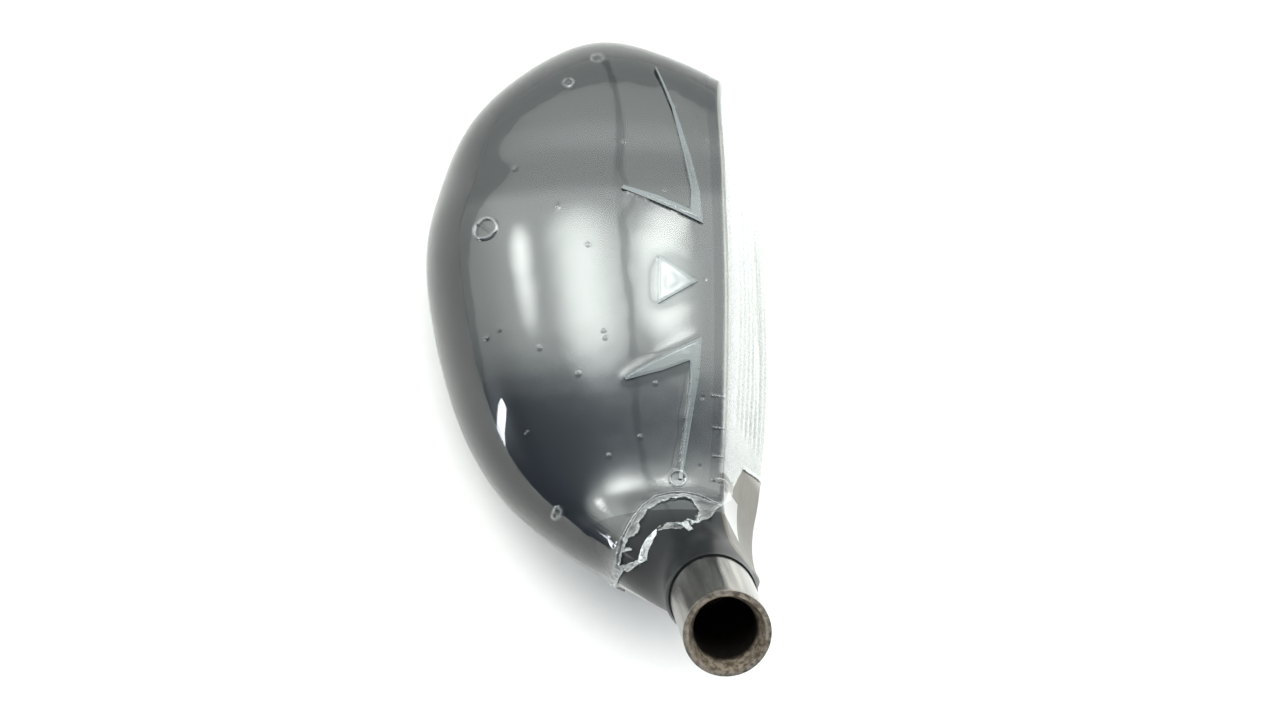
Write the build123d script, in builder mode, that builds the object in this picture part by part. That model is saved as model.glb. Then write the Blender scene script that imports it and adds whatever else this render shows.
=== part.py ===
"""Left-handed hybrid golf club head under a torn clear shrink film, in millimetres.

+X points from the head out of the face, +Y from the heel to the toe and +Z up.
The origin is the middle of the small flat that the head rests on.
"""

import os
from math import cos, radians, sin

from build123d import *

# ---- driving dimensions ----------------------------------------------------
LIE = 59.0  # hosel to ground
LOFT = 19.0  # face back from upright
FACE_FOOT = 23.9  # where the face plane meets the ground
FACE_BULGE = 320.0  # heel-to-toe radius of the face
FACE_HEEL = -34.0  # the face cup ends here and the metal runs out to the neck
FACE_WALL = 2.4
FACE_EDGE = 1.7  # rounding around the face
CUP_DEPTH = 3.6  # the face cup wraps back this far
CROWN_WALL = 0.9
SKIRT_WALL = 1.3
SOLE_WALL = 1.9
TOE_END = 48.6

HOSEL_X = 7.3
HOSEL_FOOT = -29.4  # y where the hosel axis meets the ground
HOSEL_TOP = 72.3  # along the axis from the ground
HOSEL_SEAM = 52.5
HOSEL_RADIUS = 6.75
SEAM_RADIUS = 7.0
SPIGOT_RADIUS = 6.0
SPIGOT_END = 46.0
BORE_RADIUS = 4.78
BORE_DEPTH = 29.5
BORE_END = 38.0
MOUTH_RADIUS = 5.9
MOUTH_DEPTH = 3.2

HEEL_PIVOT = (-34.0, 49.0)  # y, z of the line that the heel sections fan around
NECK_LEAN = 20.0  # the crown ends on this fan section

RIDGE_HEIGHT = 0.5
FILM_GAP = 0.08
FILM_WALL = 0.22

PORT_POINT = (-32.6, 4.0, 6.9)  # middle of the weight port on the skirt
PORT_DOWN = 35.0  # the port points this far below level
HEAD_RADIUS = 4.2
SEAT_DEPTH = 5.0
WASHER_WALL = 0.6
HEAD_HEIGHT = 2.2
THREAD_RADIUS = 2.45
INSERT_RADIUS = 3.9
INSERT_LENGTH = 6.5
CLEARANCE = 0.05

SEAM_GROOVE = 0.35
PLUG_END = 42.0
PLUG_RADIUS = 4.2  # the pilot hole under the bore, that the plug fills

SCORE_COUNT = 7
SCORE_START = 7.0
SCORE_PITCH = 3.6
SCORE_WIDTH = 0.8
SCORE_LENGTH = 44.0
SCORE_DEPTH = 0.3

BADGE_WALL = 0.6
TAPE_WALL = 0.15

# How far the hosel axis passes below the pivot line, and how far along it the fan ends
AXIS_OFF = HEEL_PIVOT[1] * cos(radians(LIE)) + (HEEL_PIVOT[0] - HOSEL_FOOT) * sin(radians(LIE))
NECK_START = HEEL_PIVOT[1] * sin(radians(LIE)) - (HEEL_PIVOT[0] - HOSEL_FOOT) * cos(radians(LIE))

# Upright sections from toe to heel:
# y, rear x, front x, lowest z, highest z, height of the rear edge, roundness
UPRIGHT = [
    (48.2, -11.0, -4.0, 17.5, 23.5, 0.50, 0.8),
    (46.8, -15.0, 0.5, 13.5, 26.6, 0.48, 0.7),
    (43.5, -20.8, 8.5, 8.4, 30.6, 0.45, 0.5),
    (38.0, -27.6, 18.5, 4.4, 34.2, 0.42, 0.25),
    (30.0, -33.2, 27.0, 1.8, 36.4, 0.40, 0.0),
    (18.0, -37.0, 32.0, 0.3, 37.7, 0.38, 0.0),
    (4.0, -37.5, 33.5, -0.3, 38.0, 0.37, 0.0),
    (-10.0, -34.7, 33.0, -0.3, 37.0, 0.38, 0.0),
    (-22.0, -30.6, 30.5, 0.7, 35.2, 0.41, 0.0),
]
# Heel sections, that fan around the pivot line from upright to square on the hosel:
# lean, rear x, front x, lowest and highest measured from the pivot, rear edge, roundness
FAN = [
    (0.0, -23.2, 26.5, -45.8, -15.8, 0.46, 0.1),
    (12.0, -17.0, 23.8, -40.4, -15.5, 0.475, 0.3),
    (24.0, -11.5, 20.6, -35.4, -15.2, 0.49, 0.5),
    (36.0, -6.6, 18.0, -31.6, -14.8, 0.50, 0.75),
    (48.0, -2.5, 16.1, -29.6, -14.3, 0.50, 0.92),
    (LIE, HOSEL_X - 7.4, HOSEL_X + 7.4, -AXIS_OFF - 7.4, 7.4 - AXIS_OFF, 0.50, 1.0),
]


def between(a, b, share):
    return a + (b - a) * share


def upright(y):
    return Plane(origin=(0, y, 0), x_dir=(1, 0, 0), z_dir=(0, -1, 0))


def leaning(lean):
    turn = radians(lean)
    return Plane(origin=(0, *HEEL_PIVOT), x_dir=(1, 0, 0), z_dir=(0, -cos(turn), sin(turn)))


def section(plane, rear, front, low, high, rear_height, roundness):
    """One closed outline of four curved quarters, rounder where roundness is near 1."""
    pull = between(0.62, 0.5523, roundness)
    top = between(rear, front, between(0.53, 0.5, roundness))
    foot = between(rear, front, between(0.56, 0.5, roundness))
    back = between(low, high, rear_height)
    nose = between(low, high, between(0.42, 0.5, roundness))
    corners = [(rear, back), (top, high), (front, nose), (foot, low)]
    bends = [(rear, high), (front, high), (front, low), (rear, low)]
    with BuildSketch(plane) as outline:
        with BuildLine():
            for start, bend, end in zip(corners, bends, corners[1:] + corners[:1]):
                near = [between(s, b, pull) if s != b else s for s, b in zip(start, bend)]
                far = [between(e, b, pull) if e != b else e for e, b in zip(end, bend)]
                Bezier(start, tuple(near), tuple(far), end)
        make_face()
    return outline.sketch


hosel_turn = radians(LIE)
HOSEL_AXIS = (0, -cos(hosel_turn), sin(hosel_turn))


def on_hosel(along):
    """A plane square on the hosel axis, this far along it from the ground."""
    return Plane(
        origin=(HOSEL_X, HOSEL_FOOT + along * HOSEL_AXIS[1], along * HOSEL_AXIS[2]),
        x_dir=(1, 0, 0),
        z_dir=HOSEL_AXIS,
    )


def head_sections(side, crown, sole, last=len(FAN)):
    """The head's sections moved in by these depths; a negative depth is outside."""
    tip = TOE_END - side
    outlines = [Vertex(-7.6, tip, 20.4)]
    for y, rear, front, low, high, back, roundness in UPRIGHT:
        at = y * tip / TOE_END if y > 0 else y
        lean_in = 0.6 if y > 48 else 1.0
        outlines.append(
            section(
                upright(at), rear + side * lean_in, front - side * lean_in,
                low + sole * lean_in, high - crown * lean_in, back, roundness,
            )
        )
    for lean, rear, front, low, high, back, roundness in FAN[:last]:
        outlines.append(
            section(
                leaning(lean), rear + side, front - side, low + sole, high - crown,
                back, roundness,
            )
        )
    if last == len(FAN):
        for along, radius in ((between(NECK_START, HOSEL_SEAM, 0.5), 7.15), (HOSEL_SEAM, SEAM_RADIUS)):
            reach = radius - side
            outlines.append(section(on_hosel(along), -reach, reach, -reach, reach, 0.5, 1.0))
    return outlines


loft_turn = radians(LOFT)
FACE_PLANE = Plane(
    origin=(FACE_FOOT, 0, 0),
    x_dir=(cos(loft_turn), 0, sin(loft_turn)),
    z_dir=(-sin(loft_turn), 0, cos(loft_turn)),
)


def ahead_of_face(depth, heel=None):
    """Everything ahead of the bulged face moved back by depth, run out at the heel."""
    sag_toe = -(58.0**2) / (2 * FACE_BULGE) - depth
    sag_heel = -(34.0**2) / (2 * FACE_BULGE) - depth
    with BuildPart() as block:
        with BuildSketch(FACE_PLANE):
            with BuildLine():
                bulge = ThreePointArc((sag_toe, 60), (-depth, 2), (sag_heel, -32))
                if heel is None:
                    runout = TangentArc(bulge @ 1, (6 - depth, -52), tangent=bulge % 1)
                    Polyline(runout @ 1, (45, -56), (45, 60), bulge @ 0)
                else:
                    Polyline(bulge @ 1, (sag_heel - 0.01, heel), (45, heel), (45, 60), bulge @ 0)
            make_face()
        extrude(amount=75, both=True)
    return block.part


def behind_lean(lean):
    """Everything on the hosel's side of one fan section."""
    with BuildPart() as block:
        with BuildSketch(leaning(lean)):
            Rectangle(160, 160)
        extrude(amount=90)
    return block.part


def head_core(depth):
    """The head with a sharp face edge, moved in by this depth all round."""
    with BuildPart() as block:
        loft(head_sections(depth, depth, depth), clean=False)
        add(ahead_of_face(depth), mode=Mode.SUBTRACT, clean=False)
    return block.part


def grown_head(out):
    """The head with a sharp face edge, moved out by this much all round."""
    return head_core(-out)


# ---- envelope, cavity and zones --------------------------------------------------
with BuildPart() as envelope:
    loft(head_sections(0, 0, 0), clean=False)
    add(ahead_of_face(0), mode=Mode.SUBTRACT, clean=False)
    rim = [
        edge
        for edge in envelope.edges()
        if edge.geom_type != GeomType.LINE
        and min(abs((edge @ end).Y + 32) for end in (0, 1)) < 0.1
    ]
    fillet(rim, radius=FACE_EDGE)
    with Locations((0, 0, -10)):
        Box(200, 200, 20, mode=Mode.SUBTRACT)

with BuildPart() as cavity:
    loft(head_sections(SKIRT_WALL, CROWN_WALL, SOLE_WALL, last=3), clean=False)
    add(ahead_of_face(FACE_WALL), mode=Mode.SUBTRACT, clean=False)

cup_front = ahead_of_face(CUP_DEPTH, heel=FACE_HEEL)

with BuildPart() as crown_zone:
    quads = []
    for at, rear, front, low, high, back, _ in UPRIGHT[:1] + UPRIGHT:
        place = upright(at if quads else 60.0)
        start = between(low, high, back) + 0.4
        quads.append((place, rear - 8, front + 8, start, between(low, high, 0.62), high + 12))
    for lean, rear, front, low, high, back, _ in FAN[:4]:
        start = between(low, high, back) + 1.6
        quads.append((leaning(lean), rear - 8, front + 8, start, between(low, high, 0.62), -2))
    for place, rear, front, start, finish, top in quads:
        with BuildSketch(place):
            with BuildLine():
                Polyline((rear, start), (front, finish), (front, top), (rear, top), close=True)
            make_face()
    loft()
    add(cup_front, mode=Mode.SUBTRACT)
    add(behind_lean(NECK_LEAN), mode=Mode.SUBTRACT)

# ---- weight port and sole badge layout -----------------------------------------------
port_turn = radians(PORT_DOWN)
PORT_OUT = (-cos(port_turn), 0, -sin(port_turn))


def on_port(depth):
    """A plane square on the port axis, this deep under the skirt, facing out."""
    origin = [p - depth * d for p, d in zip(PORT_POINT, PORT_OUT)]
    return Plane(origin=tuple(origin), x_dir=(0, 1, 0), z_dir=PORT_OUT)


def port_rod(radius, start, end, sides=0):
    """A rod on the port axis between two depths, round or with flat sides."""
    with BuildPart() as rod:
        with BuildSketch(on_port(end)):
            if sides:
                RegularPolygon(radius, sides)
            else:
                Circle(radius)
        extrude(amount=end - start)
    return rod.part


with BuildPart() as badge_zone:
    with BuildSketch(Plane.XY.offset(-5)):
        with BuildLine():
            Polyline((-25, -15), (-25.5, 21), (-16.5, 18), (-16, -12), close=True)
        make_face()
    extrude(amount=17)
    fillet(badge_zone.edges().filter_by(Axis.Z), radius=2)

with BuildPart() as badge_pocket:
    add(badge_zone.part)
    add(head_core(BADGE_WALL + TAPE_WALL), mode=Mode.SUBTRACT)

with BuildPart() as port_boss:
    add(envelope.part)
    add(port_rod(6.6, -9, 12.6), mode=Mode.INTERSECT)

# ---- body ------------------------------------------------------------------------------
with BuildPart() as body_shell:
    add(envelope.part)
    add(cavity.part, mode=Mode.SUBTRACT)
    add(cup_front, mode=Mode.SUBTRACT)
    add(crown_zone.part, mode=Mode.SUBTRACT)
    add(port_boss.part)
    add(port_rod(HEAD_RADIUS + 0.25, -9, SEAT_DEPTH), mode=Mode.SUBTRACT)
    add(port_rod(INSERT_RADIUS, SEAT_DEPTH, SEAT_DEPTH + INSERT_LENGTH), mode=Mode.SUBTRACT)
    for start, radius in (
        (BORE_END, PLUG_RADIUS),
        (HOSEL_TOP - BORE_DEPTH, BORE_RADIUS),
        (SPIGOT_END, SPIGOT_RADIUS),
    ):
        with BuildSketch(on_hosel(start)):
            Circle(radius)
        extrude(amount=40, mode=Mode.SUBTRACT)
    add(badge_pocket.part, mode=Mode.SUBTRACT)
body_shell.part.label = "body_shell"

# ---- crown with its raised ridges ----------------------------------------------------------
TOE_RIDGE = [
    [(-0.3, 39.0), (2.6, 30.4), (5.0, 22.0), (6.5, 15.0), (7.0, 9.2)],
    [(7.0, 9.2), (2.0, 11.4), (-6.6, 14.9)],
    [(-6.6, 14.9), (-6.3, 15.5), (-0.5, 13.7), (4.9, 11.5)],
    [(4.9, 11.5), (5.1, 15.0), (4.0, 21.8), (2.1, 30.3), (-0.5, 38.9), (-0.3, 39.0)],
]
HEEL_RIDGE = [
    [(6.8, -10.4), (6.4, -17.0), (5.2, -25.0), (3.9, -33.8)],
    [(3.9, -33.8), (3.3, -33.7), (4.2, -25.0), (5.0, -17.5), (4.9, -14.4)],
    [(4.9, -14.4), (0.5, -16.2), (-5.6, -17.9)],
    [(-5.6, -17.9), (-5.9, -17.3), (0.0, -14.0), (6.8, -10.4)],
]
SIGHT_MARK = [[(6.2, -0.9), (-0.4, 3.2), (-0.4, -5.0), (6.2, -0.9)]]  # a plain triangle


def crown_prism(*outlines, grow=0.0):
    """Upright prisms over the crown on outlines seen from above."""
    with BuildPart() as block:
        with BuildSketch(Plane.XY.offset(24)):
            for outline in outlines:
                with BuildLine():
                    for run in outline:
                        Polyline(*run)
                make_face()
            if grow:
                offset(amount=grow)
        extrude(amount=36)
    return block.part


with BuildPart() as ridges:
    add(crown_prism(TOE_RIDGE, HEEL_RIDGE))
    add(grown_head(RIDGE_HEIGHT), mode=Mode.INTERSECT)
    add(head_core(0.3), mode=Mode.SUBTRACT)

with BuildPart() as crown_shell:
    add(envelope.part)
    add(cavity.part, mode=Mode.SUBTRACT)
    add(crown_zone.part, mode=Mode.INTERSECT)
    add(ridges.part)
crown_shell.part.label = "crown_shell"

with BuildPart() as alignment_inlay:
    add(crown_prism(SIGHT_MARK))
    add(grown_head(0.35), mode=Mode.INTERSECT)
    add(envelope.part, mode=Mode.SUBTRACT)
alignment_inlay.part.label = "alignment_inlay"

# ---- face cup with score lines --------------------------------------------------------
with BuildPart() as score_cutter:
    with BuildSketch(FACE_PLANE.offset(SCORE_START)):
        Rectangle(12, SCORE_LENGTH)
    extrude(amount=SCORE_WIDTH)
    add(ahead_of_face(SCORE_DEPTH), mode=Mode.INTERSECT)

with BuildPart() as face_cup:
    add(envelope.part)
    add(cavity.part, mode=Mode.SUBTRACT)
    add(cup_front, mode=Mode.INTERSECT)
    for line in range(SCORE_COUNT):
        rise = FACE_PLANE.z_dir * SCORE_PITCH * line
        add(score_cutter.part.moved(Location(rise)), mode=Mode.SUBTRACT)
face_cup.part.label = "face_cup"

# ---- hosel ---------------------------------------------------------------------------
with BuildPart() as hosel_tube:
    with BuildSketch(on_hosel(SPIGOT_END)):
        Circle(SPIGOT_RADIUS)
    extrude(amount=HOSEL_SEAM - SPIGOT_END + 1)
    with BuildSketch(on_hosel(HOSEL_SEAM)):
        Circle(HOSEL_RADIUS - SEAM_GROOVE)
    extrude(amount=1)
    with BuildSketch(on_hosel(HOSEL_SEAM + SEAM_GROOVE)):
        Circle(HOSEL_RADIUS)
    extrude(amount=HOSEL_TOP - HOSEL_SEAM - SEAM_GROOVE)
    with BuildSketch(on_hosel(SPIGOT_END - 1)):
        Circle(BORE_RADIUS)
    extrude(amount=40, mode=Mode.SUBTRACT)
    with BuildSketch(on_hosel(HOSEL_TOP - MOUTH_DEPTH)):
        Circle(BORE_RADIUS)
    with BuildSketch(on_hosel(HOSEL_TOP)):
        Circle(MOUTH_RADIUS)
    loft(mode=Mode.SUBTRACT)
hosel_tube.part.label = "hosel_tube"

with BuildPart() as bore_plug:
    with BuildSketch(on_hosel(BORE_END)):
        Circle(PLUG_RADIUS)
    extrude(amount=PLUG_END - BORE_END)
bore_plug.part.label = "bore_plug"

with BuildPart() as epoxy_residue:
    with BuildSketch(on_hosel(PLUG_END)):
        Circle(PLUG_RADIUS)
        Circle(PLUG_RADIUS - 1.6, mode=Mode.SUBTRACT)
    extrude(amount=HOSEL_TOP - BORE_DEPTH - PLUG_END)
epoxy_residue.part.label = "epoxy_residue"

# ---- weights inside ------------------------------------------------------------------
with BuildPart() as weight_pad:
    with BuildSketch(Plane.XY.offset(-2)):
        with Locations((9.5, 5)):
            RectangleRounded(11, 46, 3)
    extrude(amount=9.5)
    add(cavity.part, mode=Mode.INTERSECT)
weight_pad.part.label = "weight_pad"

with BuildPart() as hot_melt:
    with Locations((-7, 24, -5.5)):
        Sphere(12)
    add(cavity.part, mode=Mode.INTERSECT)
hot_melt.part.label = "hot_melt"

# ---- weight screw in its port --------------------------------------------------------
with BuildPart() as weight_insert:
    add(port_rod(INSERT_RADIUS, SEAT_DEPTH, SEAT_DEPTH + INSERT_LENGTH))
    add(port_rod(THREAD_RADIUS + CLEARANCE, 0, 20), mode=Mode.SUBTRACT)
weight_insert.part.label = "weight_insert"

head_foot = SEAT_DEPTH - WASHER_WALL
with BuildPart() as weight_washer:
    add(port_rod(HEAD_RADIUS - 0.1, head_foot, SEAT_DEPTH))
    add(port_rod(THREAD_RADIUS + CLEARANCE, 0, 20), mode=Mode.SUBTRACT)
weight_washer.part.label = "weight_washer"

with BuildPart() as weight_screw:
    add(port_rod(HEAD_RADIUS, head_foot - HEAD_HEIGHT, head_foot))
    add(port_rod(THREAD_RADIUS, head_foot, SEAT_DEPTH + INSERT_LENGTH - 0.3))
    add(port_rod(1.9, head_foot - HEAD_HEIGHT, head_foot - 0.6, sides=6), mode=Mode.SUBTRACT)
weight_screw.part.label = "weight_screw"

# ---- sole badge and its tape ---------------------------------------------------------
with BuildPart() as sole_badge:
    add(badge_zone.part)
    add(envelope.part, mode=Mode.INTERSECT)
    add(head_core(BADGE_WALL), mode=Mode.SUBTRACT)
sole_badge.part.label = "sole_badge"

with BuildPart() as badge_tape:
    add(badge_zone.part)
    add(head_core(BADGE_WALL), mode=Mode.INTERSECT)
    add(head_core(BADGE_WALL + TAPE_WALL), mode=Mode.SUBTRACT)
badge_tape.part.label = "badge_tape"

# ---- shrink film ---------------------------------------------------------------------
TEAR = [
    (-16, -54), (-8.2, -49.5), (-6.0, -46.0), (-5.6, -43.0), (-4.2, -39.5), (-1.0, -36.8),
    (3.2, -35.4), (7.0, -36.2), (10.0, -38.0), (12.5, -37.0), (14.2, -32.0), (16.5, -27.0),
    (30, -24), (50, -80), (-16, -80),
]



def over_marks(out):
    """Blocks over the ridges and the sight mark, grown by this much on top and round the sides."""
    with BuildPart() as block:
        for outline in (TOE_RIDGE, HEEL_RIDGE, SIGHT_MARK):
            add(crown_prism(outline, grow=out))
        add(grown_head(RIDGE_HEIGHT + out), mode=Mode.INTERSECT)
        add(head_core(1), mode=Mode.SUBTRACT)
    return block.part


with BuildPart() as shrink_film:
    add(grown_head(FILM_GAP + FILM_WALL))
    add(over_marks(FILM_GAP + FILM_WALL))
    add(over_marks(FILM_GAP), mode=Mode.SUBTRACT)
    add(grown_head(FILM_GAP), mode=Mode.SUBTRACT)
    with BuildSketch(Plane.XY.offset(-20)):
        with BuildLine():
            Polyline(*TEAR, close=True)
        make_face()
    extrude(amount=120, mode=Mode.SUBTRACT)
    # The hem slopes down to the front, and up again under the heel
    with BuildSketch(Plane(origin=(-38, 0, 12), x_dir=(0, 1, 0), z_dir=(-1, 0, -6))):
        Rectangle(300, 300)
    extrude(amount=60, mode=Mode.SUBTRACT)
    with BuildSketch(Plane(origin=(0, -26, 3.5), x_dir=(1, 0, 0), z_dir=(0, -0.35, -1))):
        Rectangle(300, 300)
    extrude(amount=60, mode=Mode.SUBTRACT)
shrink_film.part.label = "shrink_film"

os.makedirs("parts", exist_ok=True)
for name, piece in {
    "body_shell": body_shell,
    "crown_shell": crown_shell,
    "alignment_inlay": alignment_inlay,
    "face_cup": face_cup,
    "hosel_tube": hosel_tube,
    "bore_plug": bore_plug,
    "epoxy_residue": epoxy_residue,
    "weight_pad": weight_pad,
    "hot_melt": hot_melt,
    "weight_insert": weight_insert,
    "weight_washer": weight_washer,
    "weight_screw": weight_screw,
    "sole_badge": sole_badge,
    "badge_tape": badge_tape,
    "shrink_film": shrink_film,
}.items():
    export_step(piece.part, f"parts/{name}.step")
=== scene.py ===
"""Looks for the hybrid club head: painted crown, brushed face, bare hosel and torn film."""

import math
import random

import bmesh
import bpy
from mathutils import Matrix, Vector
from mathutils import noise as mathutils_noise
from mathutils.bvhtree import BVHTree


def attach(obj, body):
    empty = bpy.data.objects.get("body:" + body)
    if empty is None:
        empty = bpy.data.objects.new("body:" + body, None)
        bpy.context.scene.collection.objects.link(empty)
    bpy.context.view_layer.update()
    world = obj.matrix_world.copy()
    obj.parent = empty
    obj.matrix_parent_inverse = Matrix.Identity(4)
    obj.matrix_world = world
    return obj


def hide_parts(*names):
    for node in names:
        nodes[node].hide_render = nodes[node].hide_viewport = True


MM = 0.001  # metres in a millimetre
HOSEL_WAY = (0, -0.515, 0.857)  # up along the hosel axis
HOSEL_FOOT = (0, -0.0294, 0)  # where the axis meets the ground, seen from the side

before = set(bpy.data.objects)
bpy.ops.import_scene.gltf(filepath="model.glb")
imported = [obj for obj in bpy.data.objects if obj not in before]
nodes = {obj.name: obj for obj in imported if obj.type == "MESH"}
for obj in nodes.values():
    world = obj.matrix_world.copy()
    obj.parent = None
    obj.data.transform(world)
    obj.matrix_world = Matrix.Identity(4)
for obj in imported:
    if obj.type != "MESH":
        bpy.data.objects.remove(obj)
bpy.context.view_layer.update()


# ---- materials ----------------------------------------------------------------
def linear(code):
    """An sRGB hex value as linear red, green and blue."""
    parts = [int(code[i : i + 2], 16) / 255 for i in (1, 3, 5)]
    return [p / 12.92 if p <= 0.04045 else ((p + 0.055) / 1.055) ** 2.4 for p in parts] + [1.0]


def material(name):
    """A new, empty material and its node tree."""
    made = bpy.data.materials.new(name)
    made.use_nodes = True
    tree = made.node_tree
    tree.nodes.clear()
    return made, tree


def put(tree, kind, settings=None, **inputs):
    """Adds one node: settings are its properties, inputs are values or output sockets."""
    node = tree.nodes.new(kind)
    for key, value in (settings or {}).items():
        setattr(node, key, value)
    for key, value in inputs.items():
        socket = node.inputs[int(key[1:])] if key[0] == "i" and key[1:].isdigit() else None
        socket = socket or node.inputs[key.replace("_", " ")]
        if isinstance(value, bpy.types.NodeSocket):
            tree.links.new(value, socket)
        else:
            socket.default_value = value
    return node


def maths(tree, operation, a, b=0.0, clamp=False):
    """One sum on two numbers or sockets."""
    return put(tree, "ShaderNodeMath", {"operation": operation, "use_clamp": clamp}, i0=a, i1=b).outputs[0]


def place(tree, scale=(1, 1, 1), turn=(0, 0, 0), at=(0, 0, 0)):
    """Object coordinates, moved, turned and scaled."""
    spot = put(tree, "ShaderNodeTexCoord").outputs["Object"]
    return put(
        tree, "ShaderNodeMapping", {"vector_type": "POINT"},
        Vector=spot, Location=at, Rotation=turn, Scale=scale,
    ).outputs[0]


def noise(tree, vector, per_mm, detail=3.0, rough=0.5):
    """Noise with this many features in a millimetre."""
    return put(
        tree, "ShaderNodeTexNoise", Vector=vector, Scale=per_mm / MM, Detail=detail, Roughness=rough
    ).outputs["Fac"]


def ramp(tree, fac, low, high, out_low=0.0, out_high=1.0):
    """A soft step from out_low to out_high as fac goes from low to high."""
    return put(
        tree, "ShaderNodeMapRange", {"interpolation_type": "SMOOTHSTEP"},
        Value=fac, From_Min=low, From_Max=high, To_Min=out_low, To_Max=out_high,
    ).outputs[0]


def mixed(tree, fac, a, b):
    """One colour at 0, the other at 1."""
    node = put(tree, "ShaderNodeMix", {"data_type": "RGBA"}, i0=fac, i6=a, i7=b)
    return node.outputs[2]


def bump(tree, height, depth_mm):
    """A surface that stands up to this high where height is 1."""
    return put(tree, "ShaderNodeBump", Height=height, Strength=1.0, Distance=depth_mm * MM).outputs[0]


def finish_with(tree, shader):
    put(tree, "ShaderNodeOutputMaterial", Surface=shader)


def lacquer(tree, dark="#22282b", light="#282e31", gloss=1.0, rough=0.26, shine=0.5):
    """Dark metallic base under clear lacquer: a deep grey with a very fine sparkle."""
    flake = noise(tree, place(tree), 9.0, 2.0)
    skin = noise(tree, place(tree), 0.35, 2.0)
    return put(
        tree, "ShaderNodeBsdfPrincipled", Base_Color=mixed(tree, flake, linear(dark), linear(light)),
        Metallic=0.3 * gloss, Roughness=rough, Coat_Weight=gloss, Coat_Roughness=0.03,
        Specular_IOR_Level=shine,
        Normal=bump(tree, skin, 0.004),
    ).outputs[0]


def graphite_paint():
    """The crown's own paint."""
    made, tree = material("graphite_lacquer")
    finish_with(tree, lacquer(tree))
    return made


def squared(tree, value):
    return maths(tree, "MULTIPLY", value, value)


# The face: a plane that leans back, bulged from heel to toe, and hollow where it runs out to the neck
FACE_LOFT = math.radians(19)
FACE_FOOT = 0.0239
BULGE_MIDDLE = 0.002
BULGE_RADIUS = 0.32
RUNOUT_AT = (0.02141, -0.03446)  # ahead of the face plane, and heel to toe
RUNOUT_RADIUS = 0.02335
RUNOUT_START = -0.032


def face_mask(tree, within_mm=0.4):
    """1 on the bulged face and its run-out to the neck and this deep behind them, else 0."""
    x, y, z = put(tree, "ShaderNodeSeparateXYZ", Vector=place(tree)).outputs
    level = maths(tree, "MULTIPLY", maths(tree, "SUBTRACT", x, FACE_FOOT), math.cos(FACE_LOFT))
    out = maths(tree, "ADD", level, maths(tree, "MULTIPLY", z, math.sin(FACE_LOFT)))
    bulge = squared(tree, maths(tree, "SUBTRACT", y, BULGE_MIDDLE))
    ahead = maths(tree, "ADD", out, maths(tree, "DIVIDE", bulge, 2 * BULGE_RADIUS))
    from_middle = maths(tree, "ADD", squared(tree, maths(tree, "SUBTRACT", out, RUNOUT_AT[0])),
                        squared(tree, maths(tree, "SUBTRACT", y, RUNOUT_AT[1])))
    runout = maths(tree, "SUBTRACT", RUNOUT_RADIUS, maths(tree, "SQRT", from_middle))
    heel = maths(tree, "LESS_THAN", y, RUNOUT_START)
    depth = maths(tree, "ADD", maths(tree, "MULTIPLY", heel, runout),
                  maths(tree, "MULTIPLY", maths(tree, "SUBTRACT", 1.0, heel), ahead))
    return ramp(tree, depth, (-within_mm - 0.1) * MM, (-within_mm + 0.1) * MM)


def brushed_metal(tree, light, dark, per_mm, rough, depth):
    """Steel with fine lines left by abrasive paper, heel to toe."""
    lines = noise(tree, place(tree, (1, 0.03, 1)), per_mm, 4.0, 0.6)
    blot = noise(tree, place(tree), 0.18, 3.0)
    tone = mixed(tree, lines, linear(dark), linear(light))
    tone = mixed(tree, ramp(tree, blot, 0.35, 0.75), tone, linear(dark))
    return put(
        tree, "ShaderNodeBsdfPrincipled", Base_Color=tone, Metallic=1.0,
        Roughness=ramp(tree, lines, 0.2, 0.8, rough - 0.06, rough + 0.06),
        Normal=bump(tree, lines, depth),
    ).outputs[0]


def joined(tree, fac, a, b):
    """One finish at 0, the other at 1."""
    return put(tree, "ShaderNodeMixShader", i0=fac, i1=a, i2=b).outputs[0]


def paint_or_bare():
    """The cast body: satin steel on skirt and sole, dark lacquer over the neck, darker there than the crown
    as painted shade.
    """
    made, tree = material("cast_stainless_with_painted_neck")
    x, y, z = put(tree, "ShaderNodeSeparateXYZ", Vector=place(tree)).outputs
    # The lacquer stops along a slanting line that rises towards the heel
    line = maths(tree, "ADD", maths(tree, "MULTIPLY", y, -0.42), maths(tree, "MULTIPLY", x, 0.30))
    line = maths(tree, "SUBTRACT", line, ramp(tree, x, 0.006, 0.012, 0.0, 0.02))
    painted = ramp(tree, maths(tree, "SUBTRACT", z, line), 0.0068, 0.0070)
    satin = brushed_metal(tree, "#c9c8c4", "#aaa9a5", 6.0, 0.32, 0.003)
    # Painted shade: the face's run-out to the neck takes the darker copy of the brushed steel, as the
    # face's heel end does.
    brushed = brushed_metal(tree, "#6f695f", "#524d46", 5.0, 0.36, 0.012)
    along = maths(tree, "ADD", maths(tree, "MULTIPLY", y, HOSEL_WAY[1]),
                  maths(tree, "MULTIPLY", z, HOSEL_WAY[2]))
    # Partly a satin finish, partly painted shade: the neck's lacquer is rougher with little coat, and
    # darker in tone than the crown's.
    neck = lacquer(tree, "#0f1113", "#131618", 0.1, 0.4, 0.2)
    paint = joined(tree, ramp(tree, along, 0.044, 0.053), lacquer(tree), neck)
    whole = joined(tree, painted, satin, paint)
    finish_with(tree, joined(tree, face_mask(tree), whole, brushed))
    return made


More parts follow.
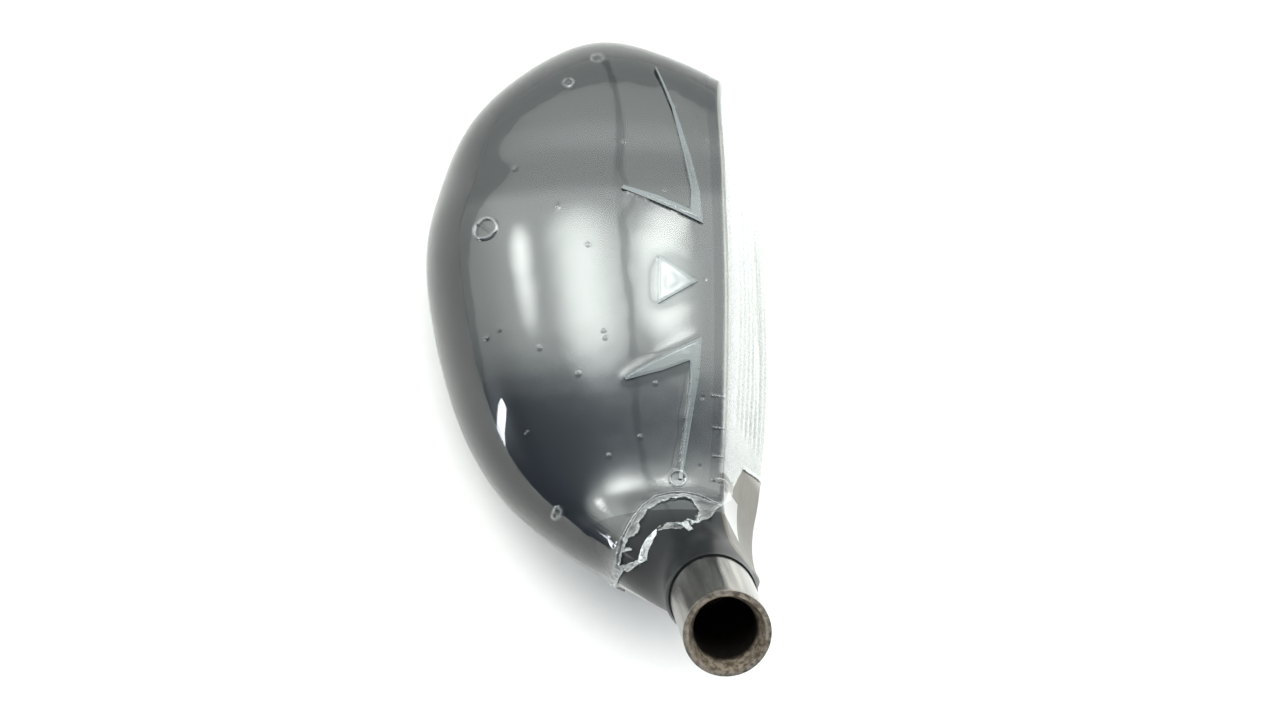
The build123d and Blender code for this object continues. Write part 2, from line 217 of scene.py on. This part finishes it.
def painted_topline_face():
    """The face cup: brushed bare steel in front, lacquered where it wraps over the top."""
    made, tree = material("brushed_face_steel_with_painted_topline")
    y, z = put(tree, "ShaderNodeSeparateXYZ", Vector=place(tree)).outputs[1:]
    # Painted shade: the uncovered heel end takes a darker copy of the brushed steel, for the dark reflected
    # there.
    brushed = joined(tree, ramp(tree, y, -0.028, -0.024),
                     brushed_metal(tree, "#6f695f", "#524d46", 5.0, 0.36, 0.012),
                     brushed_metal(tree, "#dcdad4", "#b4b1aa", 5.0, 0.34, 0.008))
    # Painted reflection: the last 2 mm before the face, over the topline's rounding, take a darker
    # blue-grey lacquer for the dark that the rounding reflects.
    edge = lacquer(tree, "#10161d", "#182028", 0.6, 0.3)
    paint = joined(tree, face_mask(tree, 2.0), lacquer(tree), edge)
    top = joined(tree, ramp(tree, z, 0.0115, 0.0118), brushed, paint)
    finish_with(tree, joined(tree, face_mask(tree), top, brushed))
    return made


def brushed_steel(name, light, dark, per_mm, rough, depth):
    """A bare metal part, brushed all over."""
    made, tree = material(name)
    finish_with(tree, brushed_metal(tree, light, dark, per_mm, rough, depth))
    return made


def plain_finish(name, light, dark, rough, metallic=0.0, per_mm=2.0, depth=0.01, **extra):
    """A small part's finish: two close tones and a fine surface grain."""
    made, tree = material(name)
    grain = noise(tree, place(tree), per_mm, 3.0)
    base = put(
        tree, "ShaderNodeBsdfPrincipled",
        Base_Color=mixed(tree, grain, linear(dark), linear(light)),
        Metallic=metallic, Roughness=rough, Normal=bump(tree, grain, depth), **extra,
    )
    finish_with(tree, base.outputs[0])
    return made


HOSEL_LEAN = math.radians(-31)  # turns the hosel axis upright
HOSEL_AT = (-0.0073, 0.0252, -0.01514)
MOUTH = 0.0723  # height of the mouth along the axis


def worn_hosel():
    """Polished hosel steel with lengthwise streaks, partly painted reflection; stained and scuffed in the
    mouth, with painted shade down the bore.
    """
    made, tree = material("turned_stainless_worn_at_the_mouth")
    upright = place(tree, turn=(HOSEL_LEAN, 0, 0), at=HOSEL_AT)
    x, y, height = put(tree, "ShaderNodeSeparateXYZ", Vector=upright).outputs
    radius = maths(tree, "SQRT", maths(tree, "ADD", squared(tree, x), squared(tree, y)))
    # Partly polishing streaks, partly painted reflection: lengthwise light and dark bands stand in for the
    # streaky reflections along the polished tube.
    long_spot = put(tree, "ShaderNodeMapping", Vector=upright, Scale=(1, 1, 0.04)).outputs[0]
    streak_and_reflection = noise(tree, long_spot, 0.42, 3.0, 0.6)
    fine = noise(tree, long_spot, 3.0, 3.0, 0.6)
    speck = noise(tree, place(tree), 1.1, 5.0, 0.65)
    steel = mixed(tree, ramp(tree, streak_and_reflection, 0.36, 0.62), linear("#5f5b56"), linear("#a29e97"))
    steel = mixed(tree, maths(tree, "MULTIPLY", fine, 0.3), steel, linear("#5d5953"))
    near_top = ramp(tree, maths(tree, "ADD", height, maths(tree, "MULTIPLY", speck, 0.0015)),
                    MOUTH - 0.0009, MOUTH + 0.0012)
    inside = ramp(tree, radius, 0.0062, 0.0066, 1.0, 0.0)
    stain = maths(tree, "MAXIMUM", maths(tree, "MULTIPLY", near_top, 0.8), inside)
    brown = mixed(tree, ramp(tree, speck, 0.35, 0.62), linear("#574b3d"), linear("#9b9081"))
    # Painted shade: down the bore, inside the mouth's countersink, the tone goes nearly black.
    painted_bore_shade = ramp(tree, radius, 0.00482, 0.0052, 1.0, 0.0)
    tone = mixed(tree, stain, steel, brown)
    tone = mixed(tree, maths(tree, "MULTIPLY", painted_bore_shade, 0.96), tone, linear("#120f0d"))
    base = put(
        tree, "ShaderNodeBsdfPrincipled", Base_Color=tone,
        Metallic=ramp(tree, stain, 0.2, 1.0, 1.0, 0.45),
        Roughness=ramp(tree, stain, 0.0, 1.0, 0.2, 0.42),
        Normal=bump(tree, maths(tree, "MULTIPLY", speck, stain), 0.12),
    )
    finish_with(tree, base.outputs[0])
    return made


looks = {
    "body_shell": paint_or_bare(),
    "crown_shell": graphite_paint(),
    "alignment_inlay": plain_finish(
        "satin_graphite_enamel", "#50575a", "#474d50", 0.3, 0.4, 3.0, 0.004, Coat_Weight=1.0
    ),
    "face_cup": painted_topline_face(),
    "hosel_tube": worn_hosel(),
    "bore_plug": plain_finish("black_nylon_plug", "#1c1b1a", "#121110", 0.6),
    "epoxy_residue": plain_finish("aged_epoxy", "#4a3420", "#2a1c10", 0.35, 0.0, 1.4, 0.08),
    "weight_pad": plain_finish("sintered_tungsten_steel", "#6d6d6c", "#4e4e4e", 0.55, 0.9, 3.0, 0.02),
    "hot_melt": plain_finish("amber_hot_melt", "#c9b479", "#ae965a", 0.25, 0.0, 0.6, 0.1),
    "weight_insert": plain_finish("turned_steel_insert", "#9b9a97", "#7d7c79", 0.3, 1.0, 4.0, 0.006),
    "weight_washer": plain_finish("natural_nylon_washer", "#e4e1d6", "#d2cec1", 0.5),
    "weight_screw": plain_finish("tungsten_screw_satin", "#77777a", "#5a5a5d", 0.32, 1.0, 4.0, 0.006),
    "sole_badge": brushed_steel("brushed_aluminium_badge", "#c9cbcc", "#a7a9aa", 5.0, 0.3, 0.004),
    "badge_tape": plain_finish("white_adhesive_film", "#dcdcd6", "#cfcfc8", 0.6),
}
for name, look in looks.items():
    nodes[name].data.materials.clear()
    nodes[name].data.materials.append(look)


# ---- shrink film -----------------------------------------------------------------
def flat(points):
    """Points in millimetres, seen from above."""
    return [Vector((x, y)) * MM for x, y in points]


def nearest_on(line, spot):
    """The distance from a spot to a line of points seen from above, and the point there."""
    best = (1.0, spot)
    for a, b in zip(line, line[1:]):
        along = b - a
        share = min(max((spot - a).dot(along) / max(along.length_squared, 1e-12), 0.0), 1.0)
        there = a + along * share
        gap = (spot - there).length
        if gap < best[0]:
            best = (gap, there)
    return best


def within(loop, spot):
    """Whether a spot lies inside a closed loop, both seen from above."""
    hit = False
    for a, b in zip(loop, loop[1:] + loop[:1]):
        if (a.y > spot.y) != (b.y > spot.y):
            if spot.x < a.x + (spot.y - a.y) * (b.x - a.x) / (b.y - a.y):
                hit = not hit
    return hit


def ragged(points, step, swing, seed):
    """The same line with torn, uneven steps."""
    chance = random.Random(seed)
    torn = [points[0]]
    for a, b in zip(points, points[1:]):
        count = max(int((b - a).length / (step * MM)), 1)
        for i in range(1, count + 1):
            wander = Vector((chance.uniform(-swing, swing), chance.uniform(-swing, swing))) * MM
            torn.append(a.lerp(b, i / count) + (wander if i < count else Vector((0, 0))))
    return torn


HOLE_TOP = flat([
    (-5.7, -47.8), (-5.6, -46.1), (-4.0, -46.2), (-5.2, -45.3), (-4.8, -44.1), (-3.9, -44.0),
    (-3.0, -42.8), (-3.2, -41.6), (-2.5, -40.9), (-1.9, -39.3), (-0.8, -38.9), (0.4, -37.9),
    (2.2, -37.3), (4.0, -36.9), (5.4, -37.4), (5.7, -38.4), (6.3, -39.2), (6.0, -40.7),
])
HOLE_FOOT = flat([
    (6.0, -40.7), (4.7, -41.7), (2.9, -42.6), (1.0, -43.4), (-0.6, -44.3), (-1.6, -45.7),
    (-2.8, -46.8), (-3.2, -47.9), (-4.8, -48.1), (-5.7, -47.8),
])
FOLD = flat([
    (-6.3, -48.4), (-6.2, -46.1), (-5.7, -43.7), (-4.3, -40.9), (-2.6, -38.6), (-0.6, -36.9),
    (1.9, -36.2), (4.5, -36.1), (6.9, -36.6), (8.9, -37.6), (10.0, -38.0),
])
FILM_END = flat([
    (-20.0, -60.0), (-8.6, -51.0), (-7.2, -50.6), (-6.4, -50.2), (-5.7, -49.3), (-5.1, -48.7),
    (-4.4, -49.1), (-2.4, -48.3), (0.6, -46.8), (2.9, -45.3), (5.2, -43.4), (5.5, -42.2),
    (6.5, -41.5), (8.4, -40.8), (9.2, -39.2), (10.6, -37.7), (12.2, -35.6), (12.9, -33.6),
    (14.2, -30.4), (15.6, -27.6), (20.0, -25.6), (30.0, -25.0),
])
hole_top = ragged(HOLE_TOP, 0.35, 0.16, 3)
hole_foot = ragged(HOLE_FOOT, 0.3, 0.14, 5)
film_end = ragged(FILM_END, 0.5, 0.08, 8)
hole = hole_top + hole_foot[1:-1]
beyond_end = film_end + flat([(60, -90), (-40, -90)])

# Vents and puckers: x, y, radius of the rim, how high it stands, whether it is open
VENTS = [
    (-28.6, 9.6, 1.75, 0.3, False), (-15.1, 35.7, 0.8, 0.4, True), (-10.1, 41.2, 0.95, 0.35, False),
    (3.2, -33.6, 1.25, 0.35, True), (-15.7, -38.0, 0.7, 0.2, False),
]
SPECKS = [
    (-9.0, -10.8), (-9.3, -9.6), (-28.0, -9.0), (-13.2, -16.7), (-21.0, -25.3), (9.2, -33.5),
    (0.6, 15.0), (-0.7, -18.3), (-26.0, -8.0), (2.6, 31.0), (-19.5, -12.0), (-6.0, 24.0),
    (-24.0, 20.0), (-12.0, 5.0), (-17.0, 12.0), (-3.0, -27.0), (-8.0, -30.0), (7.9, 25.0),
]
TICKS = [(9.6, -19.8), (9.9, -25.0), (10.0, -29.6), (10.3, -33.2)]


def skin_tree():
    """The outside of crown, cup and body, short of the hosel, as one search tree."""
    whole = bmesh.new()
    for name in ("crown_shell", "face_cup", "body_shell", "alignment_inlay"):
        whole.from_mesh(nodes[name].data)
    neck_start, neck_side = 0.044, -0.045
    neck = [
        f for f in whole.faces
        if (f.calc_center_median() - Vector(HOSEL_FOOT)).dot(Vector(HOSEL_WAY)) > neck_start
        and f.calc_center_median().y < neck_side
    ]
    bmesh.ops.delete(whole, geom=neck, context="FACES")
    tree = BVHTree.FromBMesh(whole)
    whole.free()
    return tree


def smooth_noise(spot, size_mm, seed):
    """Gentle unevenness, with lumps about this size."""
    return mathutils_noise.noise(spot / (size_mm * MM) + Vector((seed, -seed, 2 * seed)))


def refine(bm, wanted):
    """Halves the mesh wherever wanted says so."""
    edges = [e for e in bm.edges if wanted((e.verts[0].co + e.verts[1].co) / 2)]
    bmesh.ops.subdivide_edges(bm, edges=edges, cuts=1, use_grid_fill=True)
    bmesh.ops.triangulate(bm, faces=[f for f in bm.faces if len(f.verts) > 3])


def film_mesh():
    """A ball shrunk onto the head, cut at the hem and the tear, and wrinkled."""
    skin = skin_tree()
    centre = Vector((-5, -18, 6)) * MM
    bm = bmesh.new()
    bmesh.ops.create_icosphere(bm, subdivisions=7, radius=1.0)
    for v in bm.verts:
        way = v.co.normalized()
        spot = skin.ray_cast(centre + way * 0.2, -way, 0.2)[0]
        v.co = spot if spot is not None else centre + way * 0.02
    hem = [v for v in bm.verts if v.co.z < (12.2 - (v.co.x / MM + 38) / 6) * MM
           or (v.co.y < -0.054) or (v.co.y < -0.044 and v.co.z > 0.041)]
    bmesh.ops.delete(bm, geom=hem, context="VERTS")
    for _ in range(8):
        bmesh.ops.smooth_vert(bm, verts=[v for v in bm.verts if not v.is_boundary], factor=0.5,
                              use_axis_x=True, use_axis_y=True, use_axis_z=True)
    refine(bm, lambda p: p.z > 0.028 and -0.009 < p.x < 0.0135 and -0.055 < p.y < 0.042)

    def near_detail(p):
        spot = p.xy
        if p.z < 0.02:
            return False
        if spot.y < -0.034 and spot.x > -0.012:
            return True
        return any((spot - Vector((x, y)) * MM).length < (r + 1.2) * MM for x, y, r, _, _ in VENTS) or any(
            (spot - Vector(s) * MM).length < 0.9 * MM for s in SPECKS + TICKS)

    refine(bm, near_detail)
    refine(bm, near_detail)
    # Cut the hole and the end, then draw the cut edges onto their torn lines
    gone = [v for v in bm.verts if v.co.z > 0.018 and v.co.y < -0.034 and within(hole, v.co.xy)]
    gone += [v for v in bm.verts if v.co.y < -0.02 and within(beyond_end, v.co.xy)]
    bmesh.ops.delete(bm, geom=list(set(gone)), context="VERTS")
    open_vents = [(Vector((x, y)) * MM, (r - 0.25) * MM) for x, y, r, _, is_open in VENTS if is_open]
    holes = [v for v in bm.verts if v.co.z > 0.02
             and any((v.co.xy - at).length < reach for at, reach in open_vents)]
    bmesh.ops.delete(bm, geom=holes, context="VERTS")
    loose = [v for v in bm.verts if not v.link_faces]
    bmesh.ops.delete(bm, geom=loose, context="VERTS")
    torn = hole_top + hole_foot[1:] + hole_top[:1]
    for v in bm.verts:
        if v.is_boundary and v.co.y < -0.024:
            for line in (torn, film_end):
                gap, there = nearest_on(line, v.co.xy)
                if gap < 0.45 * MM:
                    v.co.xy = there
                    break
    bm.normal_update()
    white = bm.verts.layers.float.new("whitened")
    for v in bm.verts:
        spot, rise, whitening_and_face_glare = v.co.xy, 0.15, 0.0
        rise += 0.035 * smooth_noise(v.co, 9.0, 1.0) + 0.012 * smooth_noise(v.co, 3.0, 4.0)
        # Over the face the film is whitened: partly the film's milkiness, partly painted glare for the
        # face's bright look.
        lean = (v.co.x / MM - 23.9) * 0.9455 + v.co.z / MM * 0.3256 + (v.co.y / MM - 2) ** 2 / 640
        if v.co.y > -0.032:
            whitening_and_face_glare = 0.8 * min(max((lean + 0.9) / 0.7, 0.0), 1.0)
        if v.co.z > 0.018:
            for x, y, radius, height, is_open in VENTS:
                gap = (spot - Vector((x, y)) * MM).length / MM
                if gap < radius + 1.2:
                    rim = math.exp(-(((gap - radius) / 0.22) ** 2))
                    uneven = 0.7 + 0.5 * smooth_noise(v.co, 1.2, 9.0)
                    rise += height * rim * uneven
                    if not is_open:
                        slash = abs((spot.x / MM - x) + (spot.y / MM - y)) / 1.414
                        rise += 0.5 * height * math.exp(-((slash / 0.2) ** 2)) * (gap < radius)
                    whitening_and_face_glare = max(whitening_and_face_glare, 0.35 * rim)
            for x, y in SPECKS:
                gap = (spot - Vector((x, y)) * MM).length / MM
                if gap < 0.8:
                    rise += 0.16 * math.exp(-((gap / 0.28) ** 2))
            for x, y in TICKS:
                across, along = abs(spot.y / MM - y), abs(spot.x / MM - x - 0.6)
                if across < 0.6 and along < 1.8:
                    rise += 0.3 * math.exp(-((across / 0.13) ** 2)) * (1 - along / 1.8)
                    whitening_and_face_glare = max(whitening_and_face_glare, math.exp(-((across / 0.13) ** 2)) * (1 - along / 1.8))
            if spot.y < -0.034 and spot.x > -0.012:
                fold = nearest_on(FOLD, spot)[0] / MM
                rise += 0.3 * math.exp(-((fold / 0.22) ** 2))
                top = nearest_on(HOLE_TOP, spot)[0] / MM
                foot = nearest_on(HOLE_FOOT, spot)[0] / MM
                edge = nearest_on(FILM_END, spot)[0] / MM
                crumple = 0.5 + 0.5 * smooth_noise(v.co, 0.7, 7.0)
                rise += 0.45 * math.exp(-top / 0.8) * crumple
                rise += 0.6 * math.exp(-foot / 0.6) * crumple + 0.25 * math.exp(-edge / 0.5)
                whitening_and_face_glare = max(whitening_and_face_glare, math.exp(-top / 0.5), 0.95 * math.exp(-foot / 1.3),
                             math.exp(-edge / 0.35), 0.4 * math.exp(-fold / 0.3))
        elif v.co.y < -0.02:
            whitening_and_face_glare += math.exp(-nearest_on(FILM_END, spot)[0] / MM / 0.35)
        v[white] = whitening_and_face_glare
        v.co += v.normal * rise * MM
    for v in bm.verts:
        near, normal, _, gap = skin.find_nearest(v.co)
        if near is not None and (v.co - near).dot(normal) < 0.07 * MM:
            v.co = near + normal * 0.07 * MM
    for f in bm.faces:
        f.smooth = True
    made = bpy.data.meshes.new("film")
    bm.to_mesh(made)
    bm.free()
    return made


def clear_film():
    """Clear shrink film: see-through and glossy, milky where it is stretched or torn, and milky over the
    face, partly as painted glare.
    """
    made, tree = material("clear_shrink_film")
    white = put(tree, "ShaderNodeAttribute", {"attribute_name": "whitened"}).outputs["Fac"]
    crinkle = noise(tree, place(tree), 2.5, 4.0, 0.6)
    ripple = noise(tree, place(tree, (1, 0.5, 1)), 0.22, 2.0)
    milk_and_face_glare = maths(tree, "MULTIPLY", white, ramp(tree, crinkle, 0.25, 0.7, 0.35, 1.0), True)
    height = maths(tree, "ADD", maths(tree, "MULTIPLY", maths(tree, "MULTIPLY", crinkle, white), 0.5),
                   maths(tree, "MULTIPLY", ripple, 0.25))
    normal = bump(tree, height, 0.06)
    body = put(
        tree, "ShaderNodeBsdfPrincipled", Base_Color=linear("#cfd7d7"), Roughness=0.04, Normal=normal
    )
    glance = put(tree, "ShaderNodeFresnel", IOR=1.5, Normal=normal).outputs[0]
    share = maths(tree, "ADD", glance, maths(tree, "ADD", maths(tree, "MULTIPLY", milk_and_face_glare, 0.5), 0.012), True)
    clear = put(tree, "ShaderNodeBsdfTransparent", Color=linear("#fbfdfc"))
    gloss = put(tree, "ShaderNodeBsdfGlossy", Color=linear("#ffffff"), Roughness=0.04, Normal=normal)
    sheen = put(tree, "ShaderNodeMixShader", i0=milk_and_face_glare, i1=gloss.outputs[0], i2=body.outputs[0])
    blend = put(tree, "ShaderNodeMixShader", i0=share, i1=clear.outputs[0], i2=sheen.outputs[0])
    finish_with(tree, blend.outputs[0])
    return made


# ---- painted highlight on the raised ridges ----------------------------------------
TOE_RIDGE = flat([
    (-0.3, 39.0), (2.6, 30.4), (5.0, 22.0), (6.5, 15.0), (7.0, 9.2), (2.0, 11.4), (-6.6, 14.9),
    (-6.3, 15.5), (-0.5, 13.7), (4.9, 11.5), (5.1, 15.0), (4.0, 21.8), (2.1, 30.3), (-0.5, 38.9),
])
HEEL_RIDGE = flat([
    (6.8, -10.4), (6.4, -17.0), (5.2, -25.0), (3.9, -33.8), (3.3, -33.7), (4.2, -25.0),
    (5.0, -17.5), (4.9, -14.4), (0.5, -16.2), (-5.6, -17.9), (-5.9, -17.3), (0.0, -14.0),
])


def ridge_tops():
    """The crown's own ridge tops, lifted a little, to carry a lighter grey that paints the ridges' brighter
    reflection.
    """
    bm = bmesh.new()
    bm.from_mesh(nodes["crown_shell"].data)
    away = [f for f in bm.faces if f.normal.z < 0.7 or f.calc_center_median().z < 0.026
            or not any(within(loop, f.calc_center_median().xy) for loop in (TOE_RIDGE, HEEL_RIDGE))]
    bmesh.ops.delete(bm, geom=away, context="FACES")
    for v in bm.verts:
        v.co.z += 0.03 * MM
    made = bpy.data.meshes.new("ridge_painted_highlight")
    bm.to_mesh(made)
    bm.free()
    return made


ridge_highlight = bpy.data.objects.new("ridge_painted_highlight", ridge_tops())
bpy.context.scene.collection.objects.link(ridge_highlight)
# Painted highlight: a lighter satin grey on the ridge tops stands in for the brighter reflection off the
# raised ridges.
ridge_highlight.data.materials.append(
    plain_finish("ridge_highlight_grey", "#666c6e", "#5a6062", 0.34, 0.3, 3.0, 0.004, Coat_Weight=1.0)
)
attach(ridge_highlight, "head")

film_skin = bpy.data.objects.new("torn_shrink_film", film_mesh())
bpy.context.scene.collection.objects.link(film_skin)
film_skin.data.materials.append(clear_film())
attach(film_skin, "head")
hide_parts("shrink_film")

# ---- camera, floor and light ------------------------------------------------------
VIEW_TO_HEEL = math.radians(19.3)  # how far the view leans from straight down
VIEW_TO_REAR = math.radians(5.6)
CAMERA_AT = (-53.2, -182.7, 516.9)

camera_data = bpy.data.cameras.new("camera")
camera_data.lens = 88.03
camera_data.sensor_width = 36.0
camera_data.clip_start = 0.01
camera = bpy.data.objects.new("camera", camera_data)
bpy.context.scene.collection.objects.link(camera)
back = Vector((
    -math.sin(VIEW_TO_REAR),
    -math.sin(VIEW_TO_HEEL) * math.cos(VIEW_TO_REAR),
    math.cos(VIEW_TO_HEEL) * math.cos(VIEW_TO_REAR),
)).normalized()
up = (Vector((0, 1, 0)) - back * back.y).normalized()
right = up.cross(back)
camera.matrix_world = Matrix.Translation(Vector(CAMERA_AT) * MM) @ Matrix(
    (right, up, back)
).transposed().to_4x4()
bpy.context.scene.camera = camera

floor_mesh = bmesh.new()
bmesh.ops.create_grid(floor_mesh, x_segments=1, y_segments=1, size=1.5)
floor_data = bpy.data.meshes.new("floor")
floor_mesh.to_mesh(floor_data)
floor_mesh.free()
floor = bpy.data.objects.new("floor", floor_data)
bpy.context.scene.collection.objects.link(floor)
floor.location.z = -0.0002
floor_data.materials.append(plain_finish("white_sweep_paper", "#fbfaf7", "#f6f5f2", 0.8, 0.0, 0.5, 0.002))


def studio_world():
    """A pale tent: bright overhead, greyer towards the toe, and open and dark behind the heel."""
    made = bpy.data.worlds.new("studio")
    made.use_nodes = True
    tree = made.node_tree
    tree.nodes.clear()
    way = put(tree, "ShaderNodeTexCoord").outputs["Generated"]
    x, y, z = put(tree, "ShaderNodeSeparateXYZ", Vector=way).outputs

    def spot_of(at, inner, outer):
        far = put(tree, "ShaderNodeVectorMath", {"operation": "DISTANCE"}, i0=way, i1=at).outputs[1]
        return ramp(tree, far, inner, outer, 1.0, 0.0)

    wall = ramp(tree, y, -0.16, 0.14, 0.4, 2.8)
    wall = maths(tree, "MULTIPLY", wall, ramp(tree, y, 0.46, 0.60, 1.0, 0.66))
    wall = maths(tree, "MULTIPLY", wall, ramp(tree, x, -0.98, -0.72, 0.7, 1.0))
    seam = ramp(tree, maths(tree, "ABSOLUTE", maths(tree, "ADD", x, 0.055)), 0.008, 0.03, 0.6, 1.0)
    upper = maths(tree, "MULTIPLY", wall, seam)
    lamps = maths(tree, "MULTIPLY", spot_of((-0.27, 0.2, 0.94), 0.02, 0.3), 5.5)
    lamps = maths(tree, "ADD", lamps, maths(tree, "MULTIPLY", spot_of((0.11, 0.24, 0.96), 0.03, 0.18), 7.0))
    lamps = maths(tree, "ADD", lamps, maths(tree, "MULTIPLY", spot_of((-0.66, 0.2, 0.72), 0.0, 0.15), 7.0))
    level = maths(tree, "ADD", upper, maths(tree, "MULTIPLY", lamps, seam))
    tint = mixed(tree, ramp(tree, y, -0.3, 0.1), linear("#c3cee6"), linear("#fbfffc"))
    for_eye = put(tree, "ShaderNodeLightPath").outputs["Is Camera Ray"]
    mirror = put(tree, "ShaderNodeBackground", Color=tint, Strength=level)
    plain = put(tree, "ShaderNodeBackground", Color=linear("#f7f7f5"), Strength=1.0)
    both = put(tree, "ShaderNodeMixShader", i0=for_eye, i1=mirror.outputs[0], i2=plain.outputs[0])
    put(tree, "ShaderNodeOutputWorld", Surface=both.outputs[0])
    return made


bpy.context.scene.world = studio_world()


def soft_light(name, at, long_way, size, radiance, tint="#ffffff"):
    """A panel that faces the origin, its long side along long_way."""
    lamp = bpy.data.lights.new(name, "AREA")
    lamp.shape = "RECTANGLE"
    lamp.size, lamp.size_y = size
    lamp.energy = radiance * math.pi * size[0] * size[1]
    lamp.color = linear(tint)[:3]
    holder = bpy.data.objects.new(name, lamp)
    bpy.context.scene.collection.objects.link(holder)
    facing = Vector(at).normalized()
    along = Vector(long_way)
    along = (along - facing * along.dot(facing)).normalized()
    holder.matrix_world = Matrix.Translation(at) @ Matrix(
        (along.cross(facing), along, facing)
    ).transposed().to_4x4()
    holder.visible_camera = False
    return holder


soft_light("heel_strip", (-0.62, -0.13, 0.10), (0.05, -0.25, -1), (0.035, 0.2), 14.0, "#f2f6ff")
fill = soft_light("overhead_fill", (0.1, -0.1, 1.1), (0, 1, 0), (1.2, 1.2), 1.2)
fill.visible_glossy = False

bpy.context.scene.view_settings.view_transform = "Standard"
